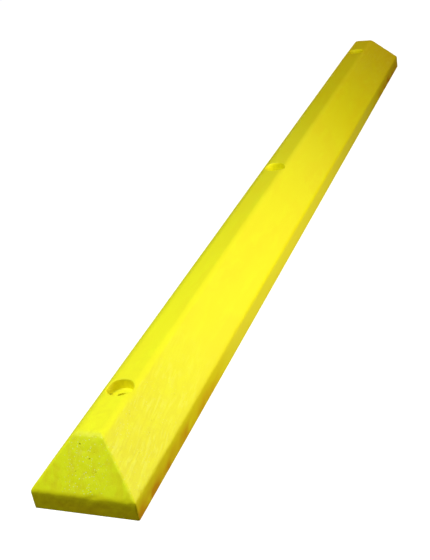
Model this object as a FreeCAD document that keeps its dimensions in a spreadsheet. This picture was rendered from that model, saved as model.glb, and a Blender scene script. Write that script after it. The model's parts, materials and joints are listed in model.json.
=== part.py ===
import FreeCAD, Part
import math
import os
import Sketcher

# A one-piece moulded traffic bar: a long solid bar with a flat underside, low upright walls, two
# sloping flanks that rise to a narrow flat crest, a slope (hip) at each end, and three
# counterbored holes down through the crest for the ground fixings.
#
# Frame, in millimetres: X along the bar, Y across it, Z up. The origin is at the middle of the
# underside.

NODE = "speed_bump_bar"

# Driving dimensions: alias, value in millimetres (a plain count for hole_count), what it is.
DIMENSIONS = [
    ("length", 1828.8, "overall length, 72 in"),
    ("width", 152.4, "overall width, 6 in"),
    ("height", 93.0, "underside to crest"),
    ("wall_height", 29.0, "upright wall, up to its sharp shoulder"),
    ("crest_width", 41.0, "flat crest, between its sharp edges"),
    ("hip_length", 50.0, "end slope, seen from above"),
    ("crest_radius", 10.0, "rounding along the crest"),
    ("shoulder_radius", 6.0, "rounding where wall meets flank"),
    ("hip_radius", 8.0, "rounding where crest meets end slope"),
    ("hole_spacing", 762.0, "hole to hole, 30 in"),
    ("hole_count", 3, "holes, the middle one at the bar's middle"),
    ("bolt_hole_diameter", 16.0, "hole right through"),
    ("recess_diameter", 38.0, "counterbore for a bolt head and washer"),
    ("recess_depth", 16.0, "counterbore, below the crest"),
    ("rim_radius", 1.5, "rounding of the counterbore's mouth"),
]
VALUE = {alias: value for alias, value, meaning in DIMENSIONS}
TINY = 0.01
UP = FreeCAD.Vector(0, 0, 1)


def make_sheet(doc):
    """Put every driving dimension in the spreadsheet, one row each, with its alias."""
    sheet = doc.addObject("Spreadsheet::Sheet", "Dimensions")
    for row, (alias, value, meaning) in enumerate(DIMENSIONS, start=1):
        sheet.set(f"A{row}", meaning)
        sheet.set(f"B{row}", str(value))
        sheet.setAlias(f"B{row}", alias)
    doc.recompute()


def origin_feature(body, role):
    """One of the body's own origin planes or axes, found by its role."""
    return next(item for item in body.Origin.OriginFeatures if item.Role == role)


def add_sketch(body, name, role):
    """A new sketch of the body, lying on one of its own origin planes."""
    sketch = body.newObject("Sketcher::SketchObject", name)
    sketch.AttachmentSupport = [(origin_feature(body, role), "")]
    sketch.MapMode = "FlatFace"
    return sketch


def add_line(sketch, start, end):
    """A straight side of an outline, in the sketch's own plane; returns its number."""
    side = Part.LineSegment(FreeCAD.Vector(*start, 0), FreeCAD.Vector(*end, 0))
    return sketch.addGeometry(side, False)


def fix(sketch, kind, *where):
    """Add a geometric constraint."""
    sketch.addConstraint(Sketcher.Constraint(kind, *where))


def drive(sketch, name, value, expression, kind, *where):
    """Add a size to the sketch and bind it to the sheet."""
    number = sketch.addConstraint(Sketcher.Constraint(kind, *where, value))
    sketch.renameConstraint(number, name)
    sketch.setExpression(f"Constraints.{name}", expression)


def settle(body, feature, before):
    """Make the feature the body's tip, recompute, and stop unless it took material away."""
    body.Tip = feature
    body.Document.recompute()
    removed = before - body.Shape.Volume
    if removed < 1:
        raise RuntimeError(f"{feature.Name} removed {removed:.1f} mm3")
    print(f"{feature.Name}: {removed:.0f} mm3 removed")


def add_bar(body):
    """The bar before it is shaped: its cross-section, run the whole length."""
    side = VALUE["width"] / 2
    brink = VALUE["crest_width"] / 2
    wall = VALUE["wall_height"]
    top = VALUE["height"]
    sketch = add_sketch(body, "Section", "YZ_Plane")
    corners = [(-side, 0), (side, 0), (side, wall), (brink, top), (-brink, top), (-side, wall)]
    for start, end in zip(corners, corners[1:] + corners[:1]):
        add_line(sketch, start, end)
    base, right_wall, right_flank, crest, left_flank, left_wall = range(len(corners))
    for number in range(len(corners)):
        fix(sketch, "Coincident", number, 2, (number + 1) % len(corners), 1)
    fix(sketch, "Horizontal", base)
    fix(sketch, "Vertical", right_wall)
    fix(sketch, "Vertical", left_wall)
    fix(sketch, "Equal", right_wall, left_wall)
    fix(sketch, "Symmetric", base, 1, base, 2, -1, 1)
    fix(sketch, "Symmetric", crest, 1, crest, 2, -2)
    drive(sketch, "width", 2 * side, "Dimensions.width", "DistanceX", base, 1, base, 2)
    drive(sketch, "crest", 2 * brink, "Dimensions.crest_width", "DistanceX", crest, 2, crest, 1)
    drive(sketch, "wall", wall, "Dimensions.wall_height", "DistanceY", base, 2, right_wall, 2)
    drive(sketch, "top", top, "Dimensions.height", "DistanceY", base, 2, right_flank, 2)
    pad = body.newObject("PartDesign::Pad", "Bar")
    pad.Profile = sketch
    pad.SideType = "Symmetric"
    pad.setExpression("Length", "Dimensions.length")
    body.Document.recompute()


def round_edges(body, name, alias, wanted, expected):
    """Round the edges for which wanted(edge) is true, with the radius called alias."""
    edges = enumerate(body.Shape.Edges, start=1)
    names = [f"Edge{number}" for number, edge in edges if wanted(edge)]
    if len(names) != expected:
        raise RuntimeError(f"{name} found {len(names)} edges, not {expected}")
    base = body.Tip
    before = body.Shape.Volume
    fillet = body.newObject("PartDesign::Fillet", name)
    fillet.Base = (base, names)
    fillet.setExpression("Radius", f"Dimensions.{alias}")
    settle(body, fillet, before)


def runs_along_at(height):
    """A test for an edge that runs the bar's whole length at this height."""
    def test(edge):
        box = edge.BoundBox
        level = abs(box.ZMin - height) < TINY and abs(box.ZMax - height) < TINY
        return level and box.XLength > VALUE["length"] - TINY
    return test


def cut_hips(body):
    """Cut the slope at the +X end, with its rounded head, and mirror the cut to the -X end."""
    end = VALUE["length"] / 2
    wall = VALUE["wall_height"]
    top = VALUE["height"]
    run = VALUE["hip_length"]
    radius = VALUE["hip_radius"]
    fall = math.atan2(top - wall, run)
    tangent = radius * math.tan(fall / 2)
    brink = end - run - tangent
    arc_end = (end - run + tangent * math.cos(fall), top - tangent * math.sin(fall))
    sketch = add_sketch(body, "HipSide", "XZ_Plane")
    upright = add_line(sketch, (end, wall), (end, top))
    level = add_line(sketch, (end, top), (brink, top))
    circle = Part.Circle(FreeCAD.Vector(brink, top - radius, 0), UP, radius)
    head = sketch.addGeometry(Part.ArcOfCircle(circle, math.pi / 2 - fall, math.pi / 2), False)
    slope = add_line(sketch, arc_end, (end, wall))
    fix(sketch, "Coincident", upright, 2, level, 1)
    fix(sketch, "Coincident", slope, 2, upright, 1)
    fix(sketch, "Tangent", level, 2, head, 2)
    fix(sketch, "Tangent", head, 1, slope, 1)
    fix(sketch, "Vertical", upright)
    fix(sketch, "Horizontal", level)
    fall_text = "atan((Dimensions.height - Dimensions.wall_height) / Dimensions.hip_length)"
    reach = f"Dimensions.hip_length + Dimensions.hip_radius * tan({fall_text} / 2)"
    drive(sketch, "foot_x", end, "Dimensions.length / 2", "DistanceX", -1, 1, upright, 1)
    drive(sketch, "foot_z", wall, "Dimensions.wall_height", "DistanceY", -1, 1, upright, 1)
    drive(sketch, "head_z", top, "Dimensions.height", "DistanceY", -1, 1, upright, 2)
    drive(sketch, "rounding", radius, "Dimensions.hip_radius", "Radius", head)
    drive(sketch, "reach", run + tangent, reach, "DistanceX", level, 2, upright, 1)
    before = body.Shape.Volume
    pocket = body.newObject("PartDesign::Pocket", "Hip")
    pocket.Profile = sketch
    pocket.Type = "ThroughAll"
    pocket.SideType = "Symmetric"
    settle(body, pocket, before)
    before = body.Shape.Volume
    mirrored = body.newObject("PartDesign::Mirrored", "BothHips")
    mirrored.Originals = [pocket]
    mirrored.MirrorPlane = (origin_feature(body, "YZ_Plane"), [""])
    settle(body, mirrored, before)


def sink(body, name, diameter, depth):
    """A round pocket at the -X hole, from the crest down by the expression called depth."""
    spacing = VALUE["hole_spacing"]
    sketch = add_sketch(body, f"{name}Circle", "XY_Plane")
    sketch.setExpression("AttachmentOffset.Base.z", "Dimensions.height")
    circle = Part.Circle(FreeCAD.Vector(-spacing, 0, 0), UP, VALUE[diameter] / 2)
    ring = sketch.addGeometry(circle, False)
    fix(sketch, "PointOnObject", ring, 3, -1)
    drive(sketch, "place", spacing, "Dimensions.hole_spacing", "DistanceX", ring, 3, -1, 1)
    drive(sketch, "diameter", VALUE[diameter], f"Dimensions.{diameter}", "Diameter", ring)
    before = body.Shape.Volume
    pocket = body.newObject("PartDesign::Pocket", name)
    pocket.Profile = sketch
    pocket.setExpression("Length", depth)
    settle(body, pocket, before)
    return pocket


def cut_holes(body):
    """One counterbored hole near the -X end, repeated along the bar."""
    recess = sink(body, "Recess", "recess_diameter", "Dimensions.recess_depth")
    bolt_hole = sink(body, "BoltHole", "bolt_hole_diameter", "Dimensions.height")
    before = body.Shape.Volume
    pattern = body.newObject("PartDesign::LinearPattern", "Holes")
    pattern.Originals = [recess, bolt_hole]
    pattern.Direction = (origin_feature(body, "X_Axis"), [""])
    pattern.setExpression("Occurrences", "Dimensions.hole_count")
    pattern.setExpression("Length", "Dimensions.hole_spacing * (Dimensions.hole_count - 1)")
    settle(body, pattern, before)


def is_rim(edge):
    """Whether an edge is part of a counterbore's mouth: on its wall, and above its floor."""
    floor = VALUE["height"] - VALUE["recess_depth"]
    spacing = VALUE["hole_spacing"]
    for point in edge.discretize(5):
        off_axis = point.x - spacing * round(point.x / spacing)
        on_wall = abs(math.hypot(off_axis, point.y) - VALUE["recess_diameter"] / 2) < TINY
        if not on_wall or point.z < floor + VALUE["rim_radius"]:
            return False
    return True


def make_body(doc):
    """The whole bar as one PartDesign body."""
    body = doc.addObject("PartDesign::Body", "SpeedBumpBar")
    body.Label = NODE
    add_bar(body)
    round_edges(body, "CrestEdges", "crest_radius", runs_along_at(VALUE["height"]), 2)
    round_edges(body, "Shoulders", "shoulder_radius", runs_along_at(VALUE["wall_height"]), 2)
    cut_hips(body)
    cut_holes(body)
    edges_per_rim = 5
    round_edges(body, "Rims", "rim_radius", is_rim, edges_per_rim * VALUE["hole_count"])
    return body


def check(doc, body):
    """Stop on any failed object, loose sketch or bad shape."""
    for item in doc.Objects:
        if {"Invalid", "Error"} & set(item.State):
            raise RuntimeError(f"{item.Name} is {item.State}")
        if item.TypeId == "Sketcher::SketchObject" and not item.FullyConstrained:
            raise RuntimeError(f"{item.Name} is not fully constrained")
    shape = body.Shape
    if shape.isNull() or not shape.isValid() or len(shape.Solids) != 1:
        raise RuntimeError(f"{body.Label} is not one valid solid")
    print(f"{body.Label}: {shape.Volume:.0f} mm3, {shape.BoundBox}")


def main():
    doc = FreeCAD.newDocument("SpeedBump")
    make_sheet(doc)
    body = make_body(doc)
    check(doc, body)
    os.makedirs("parts", exist_ok=True)
    body.Shape.exportStep(os.path.join("parts", f"{body.Label}.step"))


main()
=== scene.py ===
import json
import math

import bpy
import numpy as np
from mathutils import Euler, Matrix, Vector, noise


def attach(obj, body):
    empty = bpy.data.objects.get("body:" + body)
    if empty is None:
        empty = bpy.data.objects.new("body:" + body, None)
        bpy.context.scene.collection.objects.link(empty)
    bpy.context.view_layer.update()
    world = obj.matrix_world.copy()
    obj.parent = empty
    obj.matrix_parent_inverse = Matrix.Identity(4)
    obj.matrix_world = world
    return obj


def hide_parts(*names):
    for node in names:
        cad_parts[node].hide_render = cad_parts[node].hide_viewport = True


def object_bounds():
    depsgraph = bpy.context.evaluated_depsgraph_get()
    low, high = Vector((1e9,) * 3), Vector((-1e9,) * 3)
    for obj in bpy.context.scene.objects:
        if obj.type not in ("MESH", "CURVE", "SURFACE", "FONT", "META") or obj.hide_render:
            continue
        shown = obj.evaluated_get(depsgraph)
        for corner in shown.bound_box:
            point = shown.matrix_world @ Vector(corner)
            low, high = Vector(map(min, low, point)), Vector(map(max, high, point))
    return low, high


# A safety-yellow moulded traffic bar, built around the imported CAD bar. Lengths are in metres.
# The frame: X along the bar, Y across it, Z up, the origin at the middle of the underside.

MM = 0.001
NODE = "speed_bump_bar"

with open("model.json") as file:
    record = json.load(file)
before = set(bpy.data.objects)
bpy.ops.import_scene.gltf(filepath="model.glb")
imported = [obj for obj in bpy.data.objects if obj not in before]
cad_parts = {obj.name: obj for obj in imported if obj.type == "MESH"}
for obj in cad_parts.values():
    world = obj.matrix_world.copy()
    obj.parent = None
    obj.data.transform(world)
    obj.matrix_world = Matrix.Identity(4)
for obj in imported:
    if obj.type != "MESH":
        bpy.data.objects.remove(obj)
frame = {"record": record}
cad_low, cad_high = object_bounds()
MOUNTS = {mount["name"]: mount for mount in frame["record"]["mounts"]}
HALF_LENGTH = cad_high.x
HALF_WIDTH = cad_high.y
HEIGHT = round(cad_high.z, 4)

# The bar's shape, as the CAD has it.
WALL = 29.0 * MM                 # height of the upright wall, up to its sharp shoulder
CREST = 41.0 * MM                # width of the flat crest, between its sharp edges
HIP_RUN = 50.0 * MM              # length of an end slope, seen from above
HIP_TOP = HALF_LENGTH - HIP_RUN  # where an end slope meets the crest
FLANK_RUN = HALF_WIDTH - CREST / 2
RISE = HEIGHT - WALL
HOLES = sorted(mount["pos_m"][0] for name, mount in MOUNTS.items() if name.startswith("bolt_hole"))
HOLE_RADIUS = MOUNTS["bolt_hole_middle"]["dims"]["r_mm"] * MM
RECESS_RADIUS = MOUNTS["head_recess_middle"]["dims"]["r_mm"] * MM
RECESS_DEPTH = 16.0 * MM

# Roundings. The first five are how far from an edge each begins, measured square to the other face.
ROUND_CREST = 5.4 * MM
ROUND_RIDGE = 3.0 * MM
ROUND_SHOULDER = 2.0 * MM
ROUND_CORNER = 2.2 * MM
ROUND_FOOT = 0.9 * MM
RIM = 1.7 * MM                   # mouth of a counterbore
FLOOR_FILLET = 1.2 * MM          # where a counterbore's wall meets its floor
MOUTH = 0.8 * MM                 # where the floor drops into the bolt hole
UNDER_BEVEL = 1.0 * MM           # height of the bevel where a bolt hole meets the underside

# Colours of the moulded plastic; CREAM, LEMON and ORANGE are also used for painted light and shade.
YELLOW = (0.88, 0.80, 0.006, 1)
DEEP_YELLOW = (0.86, 0.73, 0.004, 1)
LEMON = (0.90, 0.88, 0.008, 1)
CREAM = (0.93, 0.87, 0.12, 1)
OCHRE = (0.82, 0.71, 0.008, 1)
ORANGE = (0.68, 0.34, 0.002, 1)
PIT = (0.45, 0.44, 0.01, 1)
FLECK = (0.95, 0.94, 0.42, 1)

# How finely the skin is divided.
TOP_SHARE = 0.93                 # the top patch starts this far up the slopes
ACROSS = 56                      # cells across an end, and across the top patch
CROWDING = 0.55                  # how far those lines crowd towards the long edges
BESIDE_HOLE = 16                 # cells along the bar beside a hole
BETWEEN_HOLES = 112              # cells along the bar from hole to hole
ON_SLOPE = 34                    # cells up a slope
ROUND_STEPS = 4                  # cells round a small rounding
MOUTH_STEPS = 3                  # cells round the mouth of a bolt hole
RINGS = 7                        # rings of cells between a hole and the square round it
SETTLING = 8                     # steps taken to bring a point onto the rounded shape

REACH = HALF_WIDTH - TOP_SHARE * FLANK_RUN   # half the side of the square round a hole
SPLAY = HOLES[-1] + REACH        # beyond this the lines close up as an end slope climbs

# Rows of points, close together at the roundings: heights up a wall, and shares of a slope's height.
WALL_ROWS = [0, 0.6 * MM, 1.6 * MM, *np.linspace(4 * MM, WALL - 3.5 * MM, 6), WALL - 1.6 * MM]
SLOPE_ROWS = [0, 0.022, *np.linspace(0.05, TOP_SHARE, ON_SLOPE)]

# The moulded surface's unevenness: the size of its lumps along, across and up the bar.
SWELLS = (0.16, 0.05, 0.05)
FLOW_LINES = (0.045, 0.009, 0.009)
RIPPLES = (0.011, 0.008, 0.008)
DENTS = (0.009, 0.007, 0.008)
DENT_FLOOR = 0.15                # only noise above this makes a dent
SHOULDER_BAND = 3 * MM           # dents reach this far above and below the shoulder
DENTED_END = 0.75                # dents on the slopes begin this far from the middle
DENTS_GROW = 0.12                # and have their full depth this much further on
FLAT_FOOT = 0.5 * MM             # below this nothing sinks, so the underside stays flat

# The paint's patterns: the size of their lumps along, across and up the bar.
CLOUDS = (0.13, 0.05, 0.05)
FLOW = (0.070, 0.012, 0.014)
MARBLING = (0.011, 0.010, 0.012)
BLOTCHES = (0.034, 0.030, 0.022)
PATCHES = (0.025, 0.022, 0.025)
GRAIN = (0.0024, 0.0018, 0.0018)
END_STROKES = (0.008, 0.0044, 0.010)
SIDE_STROKES = (0.020, 1.0, 0.0048)
STROKE_LEAN = 6.0                # a side stroke runs this far along the bar for each unit it climbs
DRIFT_SCALE = 22.0               # lumps to a metre in the drift that makes a pattern wander

# Where marks, painted light and painted shade begin and are full, measured along the bar from its middle.
# The near end is at -X.
NEAR_WEAR = (-0.54, -0.86)
FAR_WEAR = (0.50, 0.84)
FAR_STRENGTH = 0.45              # marks at the far end are weaker than at the near one
# orange at the foot of the walls grows from here towards the ends: partly the plastic's orange blotches,
# partly painted shade and a painted warm reflection of the floor
STAIN_AND_SHADE = (0.54, 0.74)
# painted light: the middle of the walls is made paler, where the light falls most
PAINTED_LIGHT_WALL = (0.64, 0.48)
# painted light: the slopes and crest are paler over the near half, fading out towards the far end
PAINTED_LIGHT_TOP = (0.45, 0.05)
# painted warm shade: the far end, away from the main lights, is made more orange
PAINTED_WARM_SHADE_END = (0.62, 0.90)


def rounded_max(a, b, radius):
    """The greater of two distances outside a face, with the edge between the faces rounded."""
    beyond = np.hypot(np.maximum(a + radius, 0), np.maximum(b + radius, 0))
    return np.minimum(np.maximum(a, b), -radius) + beyond


def slope_distance(out, up, run):
    """Distance outside a slope that climbs RISE over run, from its foot out and up."""
    return (RISE * out + run * up) / math.hypot(run, RISE)


def outside(points):
    """Distance outside the bar's rounded outer shape, its holes apart; negative inside."""
    x, y, z = np.abs(points[:, 0]), np.abs(points[:, 1]), points[:, 2]
    flank = slope_distance(y - HALF_WIDTH, z - WALL, FLANK_RUN)
    hip = slope_distance(x - HALF_LENGTH, z - WALL, HIP_RUN)
    crown = rounded_max(rounded_max(flank, hip, ROUND_RIDGE), z - HEIGHT, ROUND_CREST)
    sides = rounded_max(y - HALF_WIDTH, x - HALF_LENGTH, ROUND_CORNER)
    return rounded_max(rounded_max(crown, sides, ROUND_SHOULDER), -z, ROUND_FOOT)


def settled(points, only_up=False):
    """The points, moved onto the rounded outer shape: square to it, or straight up or down."""
    points = np.array(points, float)
    step = 0.01 * MM
    for _ in range(SETTLING):
        slope = np.stack([outside(points + move) - outside(points - move)
                          for move in np.eye(3) * step], axis=1) / (2 * step)
        if only_up:
            slope[:, :2] = 0
        size = np.maximum((slope ** 2).sum(axis=1), 1e-6)
        points -= slope * (outside(points) / size)[:, None]
    return points


class Skin:
    """Points and faces of one closed surface, built from rows of points."""

    def __init__(self):
        self.points = []
        self.faces = []

    def row(self, points):
        """Add a row of points; returns their numbers."""
        start = len(self.points)
        self.points.extend(map(tuple, points))
        return list(range(start, len(self.points)))

    def bridge(self, lower, upper):
        """Join two closed rows of equal length, the second inside or above the first."""
        for a in range(len(lower)):
            b = (a + 1) % len(lower)
            self.faces.append((lower[a], lower[b], upper[b], upper[a]))


def spread(bounds, cells):
    """Lines from bound to bound, evenly spaced within each stretch."""
    pieces = [np.linspace(a, b, n, endpoint=False) for a, b, n in zip(bounds, bounds[1:], cells)]
    return np.concatenate(pieces + [[bounds[-1]]])


def half_spread():
    """Lines along the bar from its middle to its end; they are finer at the holes and the end."""
    hole = HOLES[-1]
    # where each stretch ends, and how many cells it has
    stretches = [
        (REACH, BESIDE_HOLE // 2),
        (hole - REACH, BETWEEN_HOLES),
        (hole + REACH, BESIDE_HOLE),
        (HIP_TOP - 10 * MM, 14),
        (HIP_TOP + 6 * MM, 10),
        (HALF_LENGTH - 8 * MM, 16),
        (HALF_LENGTH, 6),
    ]
    bounds = [0] + [end for end, _ in stretches]
    return spread(bounds, [cells for _, cells in stretches])


half_lines = half_spread()
ALONG = np.concatenate([-half_lines[:0:-1], half_lines])


def lines_at(share):
    """Lines along and across the bar at this share of the slopes' height."""
    end = HALF_LENGTH - share * HIP_RUN
    squeeze = (end - SPLAY) / (HALF_LENGTH - SPLAY)
    size = np.abs(ALONG)
    along = np.sign(ALONG) * np.where(size > SPLAY, SPLAY + (size - SPLAY) * squeeze, size)
    even = np.linspace(-1, 1, ACROSS + 1)
    crowded = (1 - CROWDING) * even + CROWDING * np.sin(even * math.pi / 2)
    return along, crowded * (HALF_WIDTH - share * FLANK_RUN)


def perimeter(along, across, z):
    """Points round a rectangle of lines, from its lowest corner, turning left seen from above."""
    points = [(x, across[0], z) for x in along[:-1]]
    points += [(along[-1], y, z) for y in across[:-1]]
    points += [(x, across[-1], z) for x in along[:0:-1]]
    points += [(along[0], y, z) for y in across[:0:-1]]
    return points


def rectangle(numbers):
    """The numbers round a grid of points, in the order that perimeter uses."""
    return ([row[0] for row in numbers[:-1]] + numbers[-1][:-1]
            + [row[-1] for row in numbers[:0:-1]] + numbers[0][:0:-1])


def add_patch(skin, edge, along, across, place):
    """Fill the closed row called edge with a grid; returns its numbers, row by row along the bar."""
    last_x, last_y = len(along) - 1, len(across) - 1
    numbers = [[None] * len(across) for _ in along]
    steps = [(i, 0) for i in range(last_x)] + [(last_x, k) for k in range(last_y)]
    steps += [(i, last_y) for i in range(last_x, 0, -1)] + [(0, k) for k in range(last_y, 0, -1)]
    for (i, k), number in zip(steps, edge):
        numbers[i][k] = number
    for i in range(1, last_x):
        beside = any(abs(along[i] - hole) < REACH - MM for hole in HOLES)
        if not beside:
            points = place(np.array([(along[i], y, 0) for y in across[1:-1]]))
            numbers[i][1:-1] = skin.row(points)
    return numbers


def fill(skin, numbers, faces_up):
    """Make the faces of a patch, leaving out the squares round the holes; returns those squares."""
    squares = []
    i = 0
    while i < len(numbers) - 1:
        if None in numbers[i + 1]:
            squares.append(numbers[i:i + BESIDE_HOLE + 1])
            i += BESIDE_HOLE
            continue
        for k in range(len(numbers[i]) - 1):
            quad = (numbers[i][k], numbers[i + 1][k], numbers[i + 1][k + 1], numbers[i][k + 1])
            skin.faces.append(quad if faces_up else quad[::-1])
        i += 1
    return squares


def arc(steps):
    """Shares across and down a quarter-round, from its start on the first face."""
    turns = [math.pi / 2 * step / steps for step in range(1, steps + 1)]
    return [(math.sin(turn), 1 - math.cos(turn)) for turn in turns]


def onward(start, end, cells):
    """Evenly spaced values after start, up to end."""
    return np.linspace(start, end, cells + 1)[1:]


def hole_profile():
    """Radius and depth below the crest's own surface, down a counterbore and its bolt hole."""
    floor = RECESS_DEPTH
    lip = [(RECESS_RADIUS + RIM * (1 - out), RIM * down) for out, down in arc(ROUND_STEPS)]
    wall = [(RECESS_RADIUS, depth) for depth in onward(RIM, floor - FLOOR_FILLET, 4)]
    fillet = [(RECESS_RADIUS - FLOOR_FILLET * down, floor - FLOOR_FILLET * (1 - out))
              for out, down in arc(ROUND_STEPS)]
    flat = [(radius, floor) for radius in onward(RECESS_RADIUS - FLOOR_FILLET, HOLE_RADIUS + MOUTH, 5)]
    mouth = [(HOLE_RADIUS + MOUTH * (1 - out), floor + MOUTH * down) for out, down in arc(MOUTH_STEPS)]
    shaft = [(HOLE_RADIUS, depth) for depth in onward(floor + MOUTH, HEIGHT - UNDER_BEVEL, 8)]
    return lip, wall + fillet + flat + mouth + shaft


def circle(hole, turns, radius, z):
    """Points round a hole at these turns; z is one height, or a height for each point."""
    return np.stack([hole + radius * np.cos(turns), radius * np.sin(turns),
                     np.broadcast_to(z, turns.shape)], axis=1)


def add_hole(skin, hole, top_square, low_square):
    """Join the square left in the top patch to the one in the underside, down through a hole."""
    last = rectangle(top_square)
    square = np.array([skin.points[number] for number in last])
    turns = np.arctan2(square[:, 1], square[:, 0] - hole)
    brink = circle(hole, turns, RECESS_RADIUS + RIM, HEIGHT)
    for share in onward(0, 1, RINGS):
        ring = settled(square + (brink - square) * share, only_up=True)
        row = skin.row(ring)
        skin.bridge(last, row)
        last = row
    brink_height = ring[:, 2]
    lip, rest = hole_profile()
    for radius, depth in lip:
        row = skin.row(circle(hole, turns, radius, brink_height - depth))
        skin.bridge(last, row)
        last = row
    for radius, depth in rest:
        # the wall starts level with its own brink and ends level all round
        share = min(1.0, (depth - RIM) / (RECESS_DEPTH - FLOOR_FILLET - RIM))
        heights = brink_height * (1 - share) + HEIGHT * share - depth
        row = skin.row(circle(hole, turns, radius, heights))
        skin.bridge(last, row)
        last = row
    low_edge = rectangle(low_square)
    square = np.array([skin.points[number] for number in low_edge])
    brink = circle(hole, turns, HOLE_RADIUS + MOUTH, 0.0)
    for share in np.linspace(0, 1, RINGS, endpoint=False):
        row = skin.row(brink + (square - brink) * share)
        skin.bridge(last, row)
        last = row
    skin.bridge(last, low_edge)


def on_top(points):
    """Points of the top patch, lifted to the rounded surface."""
    points[:, 2] = HEIGHT
    return settled(points, only_up=True)


def on_underside(points):
    """Points of the flat underside."""
    points[:, 2] = 0
    return points


def build_skin():
    """The whole bar as one closed skin: underside, walls, slopes, top patch and holes."""
    skin = Skin()
    last = None
    along, across = lines_at(0)
    for height in WALL_ROWS:
        row = skin.row(settled(perimeter(along, across, height)))
        if last is None:
            foot = row
        else:
            skin.bridge(last, row)
        last = row
    for share in SLOPE_ROWS:
        along, across = lines_at(share)
        row = skin.row(settled(perimeter(along, across, WALL + share * RISE)))
        skin.bridge(last, row)
        last = row
    top = add_patch(skin, last, along, across, on_top)
    low_along, low_across = lines_at(0)
    low = add_patch(skin, foot, low_along, low_across, on_underside)
    top_squares = fill(skin, top, faces_up=True)
    low_squares = fill(skin, low, faces_up=False)
    for hole, top_square, low_square in zip(HOLES, top_squares, low_squares):
        add_hole(skin, hole, top_square, low_square)
    return skin


def wave(point, size, seed):
    """Smooth noise from -1 to 1, with lumps of this size along each axis."""
    return noise.noise(Vector((point[0] / size[0] + seed, point[1] / size[1], point[2] / size[2])))


def sinkage(point):
    """How far the moulded surface has sunk below the true shape at a point. The weights are in mm."""
    slow = wave(point, SWELLS, 3.0)
    flow = wave(point, FLOW_LINES, 11.0)
    ripple = wave(point, RIPPLES, 29.0)
    dent = max(0.0, wave(point, DENTS, 47.0) - DENT_FLOOR)
    at_shoulder = math.exp(-((point[2] - WALL) / SHOULDER_BAND) ** 2)
    at_end = min(1.0, max(0.0, (abs(point[0]) - DENTED_END) / DENTS_GROW))
    uneven = 0.27 + 0.18 * slow + 0.072 * flow + 0.036 * ripple
    return (uneven + dent * (0.8 * at_shoulder + 0.7 * at_end)) * MM


def make_bar():
    """The bar's mesh, with its moulded unevenness."""
    skin = build_skin()
    mesh = bpy.data.meshes.new("bar")
    mesh.from_pydata(skin.points, [], skin.faces)
    mesh.validate()
    mesh.update()
    count = 3 * len(mesh.vertices)
    places = np.zeros(count)
    normals = np.zeros(count)
    mesh.vertices.foreach_get("co", places)
    mesh.vertices.foreach_get("normal", normals)
    places, normals = places.reshape(-1, 3), normals.reshape(-1, 3)
    sunk = np.array([sinkage(place) if place[2] > FLAT_FOOT else 0 for place in places])
    mesh.vertices.foreach_set("co", (places - normals * sunk[:, None]).ravel())
    mesh.shade_smooth()
    mesh.update()
    bar = bpy.data.objects.new("moulded_bar", mesh)
    bpy.context.scene.collection.objects.link(bar)
    return bar


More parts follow.
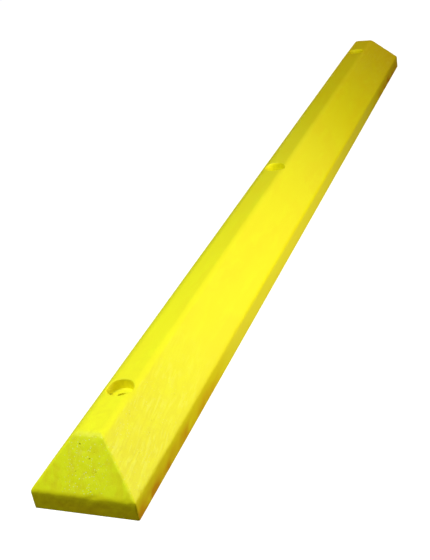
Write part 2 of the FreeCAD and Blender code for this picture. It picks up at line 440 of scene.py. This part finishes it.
class Paint:
    """A material's nodes, each worked out from the place on the object, in metres."""

    def __init__(self, material):
        self.tree = material.node_tree
        self.shader = self.tree.nodes["Principled BSDF"]
        coordinates = self.tree.nodes.new("ShaderNodeTexCoord")
        self.place = coordinates.outputs["Object"]
        self.facing = coordinates.outputs["Normal"]

    def give(self, socket, value):
        """Set a socket to a number or colour, or link another node's output to it."""
        if isinstance(value, bpy.types.NodeSocket):
            self.tree.links.new(value, socket)
        else:
            socket.default_value = value

    def maths(self, operation, first, second=0.0, third=0.0):
        """The result of a sum on two or three values."""
        node = self.tree.nodes.new("ShaderNodeMath")
        node.operation = operation
        for socket, value in zip(node.inputs, (first, second, third)):
            self.give(socket, value)
        return node.outputs[0]

    def product(self, first, *others):
        """Several values multiplied together."""
        for other in others:
            first = self.maths("MULTIPLY", first, other)
        return first

    def parts(self, vector):
        """The three values of a vector."""
        node = self.tree.nodes.new("ShaderNodeSeparateXYZ")
        self.give(node.inputs["Vector"], vector)
        return node.outputs["X"], node.outputs["Y"], node.outputs["Z"]

    def point(self, x, y, z):
        """A vector made of three values."""
        node = self.tree.nodes.new("ShaderNodeCombineXYZ")
        for socket, value in zip(node.inputs, (x, y, z)):
            self.give(socket, value)
        return node.outputs["Vector"]

    def stretched(self, size, bend, place):
        """A place divided by a size along each axis, and made to wander by bend sizes."""
        node = self.tree.nodes.new("ShaderNodeMapping")
        node.inputs["Scale"].default_value = [1 / length for length in size]
        self.give(node.inputs["Vector"], place)
        if not bend:
            return node.outputs["Vector"]
        drift = self.tree.nodes.new("ShaderNodeTexNoise")
        drift.inputs["Scale"].default_value = DRIFT_SCALE
        drift.inputs["Detail"].default_value = 1.0
        self.give(drift.inputs["Vector"], self.place)
        wander = self.tree.nodes.new("ShaderNodeVectorMath")
        wander.operation = "MULTIPLY_ADD"
        self.give(wander.inputs[0], drift.outputs["Color"])
        wander.inputs[1].default_value = (bend, bend, bend)
        self.give(wander.inputs[2], node.outputs["Vector"])
        return wander.outputs["Vector"]

    def cloud(self, size, detail, bend=0.0, place=None):
        """Noise about 0.5, with lumps of this size along each axis."""
        node = self.tree.nodes.new("ShaderNodeTexNoise")
        node.inputs["Scale"].default_value = 1.0
        node.inputs["Detail"].default_value = detail
        self.give(node.inputs["Vector"], self.stretched(size, bend, place or self.place))
        return node.outputs["Fac"]

    def between(self, value, start, end):
        """0 up to start, 1 from end on, and smooth between."""
        node = self.tree.nodes.new("ShaderNodeMapRange")
        node.interpolation_type = "SMOOTHSTEP"
        self.give(node.inputs["Value"], value)
        node.inputs["From Min"].default_value = start
        node.inputs["From Max"].default_value = end
        return node.outputs["Result"]

    def share(self, value, start, end, most):
        """0 up to start, most from end on, and smooth between."""
        return self.product(self.between(value, start, end), most)

    def dots(self, spacing, radius, share):
        """1 in small spots, one in a share of the cells of this spacing; 0 between them."""
        node = self.tree.nodes.new("ShaderNodeTexVoronoi")
        node.inputs["Scale"].default_value = 1 / spacing
        self.give(node.inputs["Vector"], self.place)
        chance = self.tree.nodes.new("ShaderNodeSeparateColor")
        self.give(chance.inputs["Color"], node.outputs["Color"])
        chosen = self.maths("LESS_THAN", chance.outputs["Red"], share)
        size = radius / spacing
        reach = self.maths("MULTIPLY_ADD", chance.outputs["Green"], size, 0.3 * size)
        near = self.maths("SUBTRACT", 1.0, self.maths("DIVIDE", node.outputs["Distance"], reach))
        return self.product(chosen, self.between(near, 0.0, 0.6))

    def blend(self, share, first, second):
        """The first colour, turned into the second by a share of it."""
        node = self.tree.nodes.new("ShaderNodeMix")
        node.data_type = "RGBA"
        for name, value in (("Factor_Float", share), ("A_Color", first), ("B_Color", second)):
            socket = next(one for one in node.inputs if one.identifier == name)
            self.give(socket, value)
        return next(one for one in node.outputs if one.identifier == "Result_Color")

    def bump(self, height, depth, below=None):
        """A surface raised by height times depth, on top of another bump."""
        node = self.tree.nodes.new("ShaderNodeBump")
        node.inputs["Distance"].default_value = depth
        self.give(node.inputs["Height"], height)
        if below is not None:
            self.give(node.inputs["Normal"], below)
        return node.outputs["Normal"]


class Zones:
    """Parts of the bar's surface, each a value from 0 outside it to 1 inside it."""

    def __init__(self, paint):
        lengthwise, crosswise, height = paint.parts(paint.place)
        along = paint.maths("ABSOLUTE", lengthwise)
        across = paint.maths("ABSOLUTE", crosswise)
        facing_x = paint.maths("ABSOLUTE", paint.parts(paint.facing)[0])
        self.facing_end = paint.between(facing_x, 0.35, 0.65)
        self.facing_side = paint.maths("SUBTRACT", 1.0, self.facing_end)

        above_wall = paint.between(height, WALL, WALL + 6 * MM)
        below_crest = paint.between(height, HEIGHT - 1 * MM, HEIGHT - 6 * MM)
        beside_crest = paint.between(across, CREST / 2, CREST / 2 + 3 * MM)
        beyond_crest = paint.between(along, HIP_TOP - 2 * MM, HIP_TOP + 4 * MM)
        self.flank = paint.product(self.facing_side, above_wall, below_crest, beside_crest)
        self.hip = paint.product(self.facing_end, above_wall, below_crest, beyond_crest)
        self.mid_hip = paint.product(self.hip, paint.between(across, 44 * MM, 8 * MM))
        # down the walls towards the foot, where the orange stain and painted shade are laid
        self.down_wall = paint.between(height, WALL, 0.1 * WALL)

        near_end = paint.between(lengthwise, *NEAR_WEAR)
        far_end = paint.share(lengthwise, *FAR_WEAR, FAR_STRENGTH)
        self.worn = paint.maths("MAXIMUM", near_end, far_end)
        # ends of the walls, where the orange at the foot is partly stain and partly painted shade
        self.stain_and_shade = paint.between(along, *STAIN_AND_SHADE)
        on_wall = paint.between(height, WALL, WALL - 4 * MM)
        # painted light: the middle of the walls, made paler
        self.painted_light_wall = paint.product(paint.between(along, *PAINTED_LIGHT_WALL), on_wall)
        # painted light: the slopes and crest, paler over the near half
        self.painted_light_top = paint.product(paint.between(lengthwise, *PAINTED_LIGHT_TOP), above_wall, self.facing_side)
        # painted warm shade: the sides of the far end
        self.painted_warm_shade_end = paint.product(paint.between(lengthwise, *PAINTED_WARM_SHADE_END), self.facing_side)

        # a pattern drawn in this place has its long lines climbing as they run along the bar
        leaning = paint.maths("MULTIPLY_ADD", height, STROKE_LEAN, along)
        self.leaning_place = paint.point(leaning, 0, height)


class Marks:
    """The patterns in the plastic; streaks, flecks and pits are only where the bar has them."""

    def __init__(self, paint, zones):
        self.clouds = paint.cloud(CLOUDS, 2.0)
        self.flow = paint.cloud(FLOW, 2.0, bend=1.6)
        self.marbling = paint.cloud(MARBLING, 3.0, bend=1.8)
        self.blotches = paint.cloud(BLOTCHES, 1.0, bend=0.5)
        self.grain = paint.cloud(GRAIN, 2.0)

        strokes = paint.cloud(SIDE_STROKES, 3.0, bend=2.4, place=zones.leaning_place)
        self.dark_streaks = paint.product(paint.share(strokes, 0.50, 0.40, 0.60), zones.flank, zones.worn)
        clumps = paint.between(self.blotches, 0.36, 0.56)
        on_flank = paint.product(paint.share(strokes, 0.47, 0.61, 0.54), clumps, zones.flank)
        end_strokes = paint.cloud(END_STROKES, 3.0, bend=2.4)
        on_hip = paint.product(paint.share(end_strokes, 0.46, 0.66, 0.30), zones.mid_hip)
        self.streaks = paint.product(paint.maths("ADD", on_flank, on_hip), zones.worn)

        patches = paint.cloud(PATCHES, 1.0)
        scattered = paint.product(paint.share(patches, 0.44, 0.60, 0.45), zones.flank, zones.worn)
        scattered = paint.maths("MAXIMUM", scattered, zones.mid_hip)
        self.flecks = paint.product(paint.dots(2.8 * MM, 1.0 * MM, 0.60), scattered)
        self.pits = paint.product(paint.dots(5.0 * MM, 1.3 * MM, 0.22), scattered)


def mix_colour(paint, zones, marks):
    """The plastic's colour with painted light and shade: each layer turns the one below into a second
    colour by a share.
    """
    # orange at the foot of the walls: partly the plastic's blotches, partly painted shade and a painted
    # warm floor reflection
    foot = paint.maths("MULTIPLY_ADD", zones.stain_and_shade, 0.85, 0.05)
    patchy = paint.maths("MULTIPLY_ADD", marks.blotches, 2.6, -0.5)
    less_on_ends = paint.maths("MULTIPLY_ADD", zones.facing_end, -0.7, 1.0)
    layers = [
        (paint.share(marks.clouds, 0.40, 0.66, 0.6), DEEP_YELLOW),
        (paint.share(marks.flow, 0.46, 0.72, 0.30), LEMON),
        (paint.product(paint.share(marks.marbling, 0.42, 0.66, 0.62), zones.worn), OCHRE),
        (paint.product(paint.share(marks.grain, 0.46, 0.66, 0.22), zones.worn), OCHRE),
        (marks.dark_streaks, OCHRE),
        (marks.streaks, CREAM),
        # painted cool light: the end slopes turned lemon-green, following the flow pattern
        (paint.product(paint.share(marks.flow, 0.35, 0.60, 0.9), zones.hip), LEMON),
        # painted light: the middle of the walls turned paler cream
        (paint.product(zones.painted_light_wall, 0.26), CREAM),
        # painted light: the slopes and crest turned paler cream over the near half
        (paint.product(zones.painted_light_top, 0.13), CREAM),
        # painted warm shade: the far end turned more orange
        (paint.product(zones.painted_warm_shade_end, 0.12), ORANGE),
        # orange stain and painted shade, darker and warmer towards the foot of the walls
        (paint.product(foot, patchy, less_on_ends, zones.down_wall), ORANGE),
        (paint.product(marks.pits, 0.5), PIT),
        (paint.product(marks.flecks, 0.8), FLECK),
    ]
    colour = YELLOW
    for share, second in layers:
        colour = paint.blend(share, colour, second)
    return colour


def make_material():
    """Moulded yellow plastic: cloudy, streaked where it flowed, flecked and pitted at the ends, with
    painted light and shade on its walls, slopes and ends.
    """
    material = bpy.data.materials.new("moulded_yellow")
    material.use_nodes = True
    paint = Paint(material)
    zones = Zones(paint)
    marks = Marks(paint, zones)
    paint.give(paint.shader.inputs["Base Color"], mix_colour(paint, zones, marks))

    rough = paint.maths("MULTIPLY_ADD", marks.clouds, 0.25, 0.38)
    rough = paint.maths("MULTIPLY_ADD", marks.streaks, 0.15, rough)
    paint.give(paint.shader.inputs["Roughness"], rough)
    paint.shader.inputs["Specular IOR Level"].default_value = 0.28

    surface = paint.bump(marks.flow, 0.5 * MM)
    surface = paint.bump(marks.streaks, 0.3 * MM, surface)
    surface = paint.bump(marks.grain, 0.12 * MM, surface)
    surface = paint.bump(paint.maths("SUBTRACT", 1.0, marks.pits), 0.7 * MM, surface)
    paint.give(paint.shader.inputs["Normal"], surface)
    return material


def make_stage():
    """A plain floor that glows white, but throws no light on the bar and isn't reflected in it."""
    mesh = bpy.data.meshes.new("floor")
    half = 30.0
    mesh.from_pydata([(-half, -half, 0), (half, -half, 0), (half, half, 0), (-half, half, 0)],
                     [], [(0, 1, 2, 3)])
    floor = bpy.data.objects.new("floor", mesh)
    bpy.context.scene.collection.objects.link(floor)
    material = bpy.data.materials.new("white_floor")
    material.use_nodes = True
    shader = material.node_tree.nodes["Principled BSDF"]
    shader.inputs["Base Color"].default_value = (0.3, 0.3, 0.3, 1)
    shader.inputs["Roughness"].default_value = 0.9
    shader.inputs["Emission Color"].default_value = (1, 1, 1, 1)
    shader.inputs["Emission Strength"].default_value = 1.0
    mesh.materials.append(material)
    floor.visible_diffuse = False
    floor.visible_glossy = False


def make_light(name, place, aim, size, power, colour, shines=True):
    """A soft square light at a place, turned to its aim; one that doesn't shine leaves no highlight."""
    data = bpy.data.lights.new(name, "AREA")
    data.size = size
    data.energy = power
    data.color = colour
    light = bpy.data.objects.new(name, data)
    light.location = place
    light.visible_glossy = shines
    light.rotation_euler = (Vector(aim) - Vector(place)).to_track_quat("-Z", "Y").to_euler()
    bpy.context.scene.collection.objects.link(light)


def make_lights():
    """Soft lights, in watts; the world is white to look at, and lights the bar only dimly."""
    make_light("overhead", (-1.25, 0.3, 1.6), (-0.95, 0, 0), 0.9, 28.4, (0.82, 1, 0.76))
    make_light("key", (-0.28, -1.1, 0.43), (-0.30, 0, 0), 0.6, 12.2, (1, 0.98, 0.8))
    make_light("far", (1.3, -0.35, 0.8), (0.95, 0, 0), 0.7, 2.0, (1, 0.6, 0.2))
    make_light("beyond", (1.9, 0.9, 0.25), (0.9, 0, 0), 0.7, 4, (1, 0.9, 0.7), shines=False)
    make_light("back", (0.3, 1.5, 0.25), (0.3, 0, 0), 0.9, 9, (1, 0.92, 0.75), shines=False)
    world = bpy.data.worlds.new("studio")
    world.use_nodes = True
    bpy.context.scene.world = world
    tree = world.node_tree
    dim = tree.nodes["Background"]
    dim.inputs["Color"].default_value = (1, 0.6, 0.2, 1)
    dim.inputs["Strength"].default_value = 0.07
    white = tree.nodes.new("ShaderNodeBackground")
    white.inputs["Color"].default_value = (1, 1, 1, 1)
    seen = tree.nodes.new("ShaderNodeLightPath")
    mixed = tree.nodes.new("ShaderNodeMixShader")
    tree.links.new(seen.outputs["Is Camera Ray"], mixed.inputs["Fac"])
    tree.links.new(dim.outputs["Background"], mixed.inputs[1])
    tree.links.new(white.outputs["Background"], mixed.inputs[2])
    tree.links.new(mixed.outputs["Shader"], tree.nodes["World Output"].inputs["Surface"])


def make_camera():
    """The camera, a little tilted, looking down the bar from beyond its near end."""
    data = bpy.data.cameras.new("camera")
    data.sensor_width = 36
    data.lens = 63.74                # in mm, as the sensor is
    camera = bpy.data.objects.new("camera", data)
    place = Vector((-1.7455, -0.6031, 0.8301))
    aim = Vector((-0.2984, 0.0382, 0.0))
    tilt = math.radians(-9.84)
    look = (aim - place).to_track_quat("-Z", "Y")
    camera.location = place
    camera.rotation_euler = (look @ Euler((0, 0, tilt)).to_quaternion()).to_euler()
    bpy.context.scene.collection.objects.link(camera)
    bpy.context.scene.camera = camera


make_camera()
bar = make_bar()
bar.data.materials.append(make_material())
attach(bar, "root")
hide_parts(NODE)
make_stage()
make_lights()
bpy.context.scene.view_settings.view_transform = "Standard"
